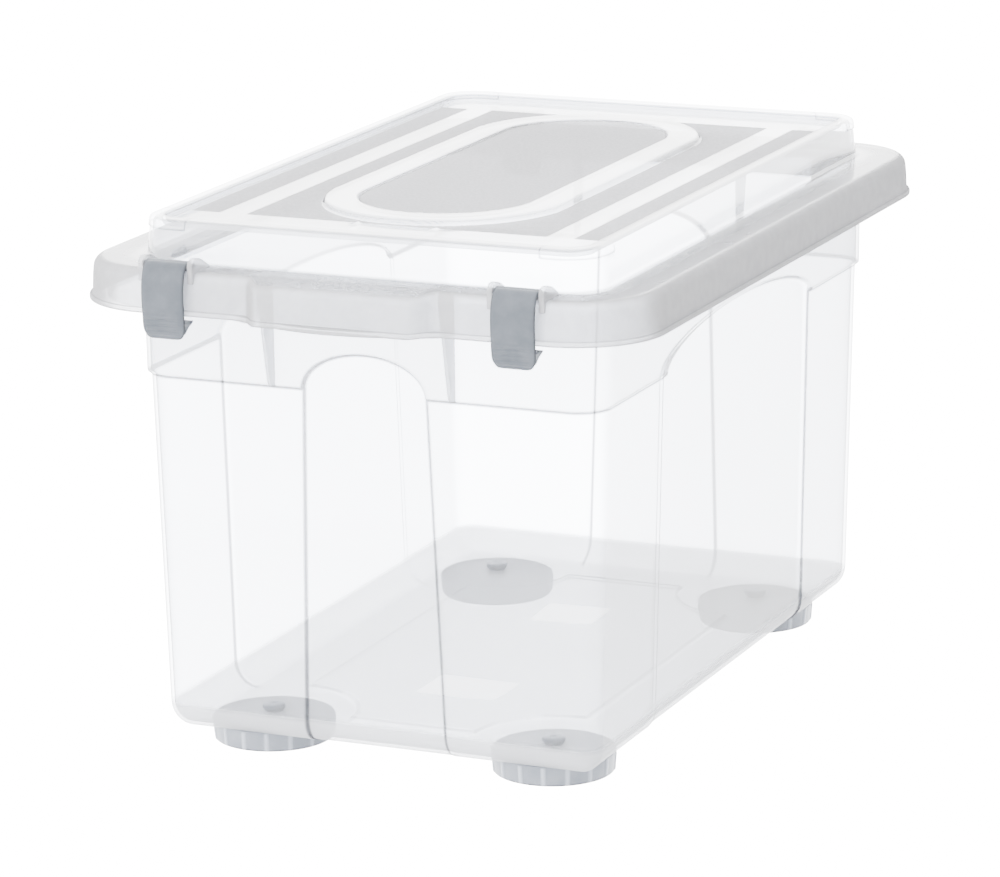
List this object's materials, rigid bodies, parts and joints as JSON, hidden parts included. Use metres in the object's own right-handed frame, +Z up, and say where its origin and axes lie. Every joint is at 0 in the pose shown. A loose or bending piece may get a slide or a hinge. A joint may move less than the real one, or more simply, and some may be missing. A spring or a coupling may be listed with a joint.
{
  "type": "stackable storage bin",
  "caption": "Clear plastic storage tub with a clip-down lid recessed for stacking, hinged end clips, hand grips and low swivelling castors.",
  "frame": {"origin": "on the ground under the middle of the bin, level with the bottoms of the castor rollers", "axes": "+Z up, Y along the long sides, X across; the ends with the clips and hand grips face -Y and +Y"},
  "size_m": [0.408, 0.626, 0.3737],
  "materials": {
    "clear_tub": "clear moulded polypropylene, slightly milky, glossy",
    "clear_lid": "clear moulded polypropylene with frosted panels on top",
    "clip_plastic": "moulded grey polypropylene, satin",
    "castor_plastic": "moulded light grey polypropylene, satin",
    "roller_plastic": "moulded grey plastic, smooth",
    "axle_steel": "drawn steel wire, bright",
    "pin_plastic": "moulded blue-grey polypropylene, satin"
  },
  "bodies": {
    "tub": {"bin_body": "clear_tub", "castor_pin_front_left": "pin_plastic", "castor_pin_front_right": "pin_plastic", "castor_pin_back_left": "pin_plastic", "castor_pin_back_right": "pin_plastic"},
    "lid": {"lid": "clear_lid"},
    "clip_front_left": {"clip_front_left": "clip_plastic"},
    "clip_front_right": {"clip_front_right": "clip_plastic"},
    "clip_back_left": {"clip_back_left": "clip_plastic"},
    "clip_back_right": {"clip_back_right": "clip_plastic"},
    "castor_front_left": {"castor_housing_front_left": "castor_plastic", "castor_axle_front_left": "axle_steel"},
    "castor_front_right": {"castor_housing_front_right": "castor_plastic", "castor_axle_front_right": "axle_steel"},
    "castor_back_left": {"castor_housing_back_left": "castor_plastic", "castor_axle_back_left": "axle_steel"},
    "castor_back_right": {"castor_housing_back_right": "castor_plastic", "castor_axle_back_right": "axle_steel"},
    "roller_front_left": {"castor_roller_front_left": "roller_plastic"},
    "roller_front_right": {"castor_roller_front_right": "roller_plastic"},
    "roller_back_left": {"castor_roller_back_left": "roller_plastic"},
    "roller_back_right": {"castor_roller_back_right": "roller_plastic"}
  },
  "joints": [
    {"name": "lid_lift", "type": "slide", "parent": "tub", "child": "lid", "axis": [0, 0, 1], "range_m": [0, 0.3]},
    {"name": "clip_front_left_hinge", "type": "hinge", "parent": "lid", "child": "clip_front_left", "pos_m": [-0.1245, -0.288, 0.3505], "axis": [-1, 0, 0], "range_deg": [0, 110]},
    {"name": "clip_front_right_hinge", "type": "hinge", "parent": "lid", "child": "clip_front_right", "pos_m": [0.1245, -0.288, 0.3505], "axis": [-1, 0, 0], "range_deg": [0, 110]},
    {"name": "clip_back_left_hinge", "type": "hinge", "parent": "lid", "child": "clip_back_left", "pos_m": [-0.1245, 0.288, 0.3505], "axis": [1, 0, 0], "range_deg": [0, 110]},
    {"name": "clip_back_right_hinge", "type": "hinge", "parent": "lid", "child": "clip_back_right", "pos_m": [0.1245, 0.288, 0.3505], "axis": [1, 0, 0], "range_deg": [0, 110]},
    {"name": "castor_front_left_swivel", "type": "hinge", "parent": "tub", "child": "castor_front_left", "pos_m": [-0.1042, -0.1914, 0.0173], "axis": [0, 0, 1], "continuous": true},
    {"name": "castor_front_right_swivel", "type": "hinge", "parent": "tub", "child": "castor_front_right", "pos_m": [0.1042, -0.1914, 0.0173], "axis": [0, 0, 1], "continuous": true},
    {"name": "castor_back_left_swivel", "type": "hinge", "parent": "tub", "child": "castor_back_left", "pos_m": [-0.1042, 0.1914, 0.0173], "axis": [0, 0, 1], "continuous": true},
    {"name": "castor_back_right_swivel", "type": "hinge", "parent": "tub", "child": "castor_back_right", "pos_m": [0.1042, 0.1914, 0.0173], "axis": [0, 0, 1], "continuous": true},
    {"name": "roller_front_left_spin", "type": "hinge", "parent": "castor_front_left", "child": "roller_front_left", "pos_m": [-0.12515, -0.19003, 0.0072], "axis": [-0.0654, -0.9979, 0], "continuous": true},
    {"name": "roller_front_right_spin", "type": "hinge", "parent": "castor_front_right", "child": "roller_front_right", "pos_m": [0.1213, -0.17921, 0.0072], "axis": [-0.5807, 0.8141, 0], "continuous": true},
    {"name": "roller_back_left_spin", "type": "hinge", "parent": "castor_back_left", "child": "roller_back_left", "pos_m": [-0.08447, 0.19858, 0.0072], "axis": [-0.342, 0.9397, 0], "continuous": true},
    {"name": "roller_back_right_spin", "type": "hinge", "parent": "castor_back_right", "child": "roller_back_right", "pos_m": [0.08346, 0.19468, 0.0072], "axis": [-0.1564, -0.9877, 0], "continuous": true}
  ]
}
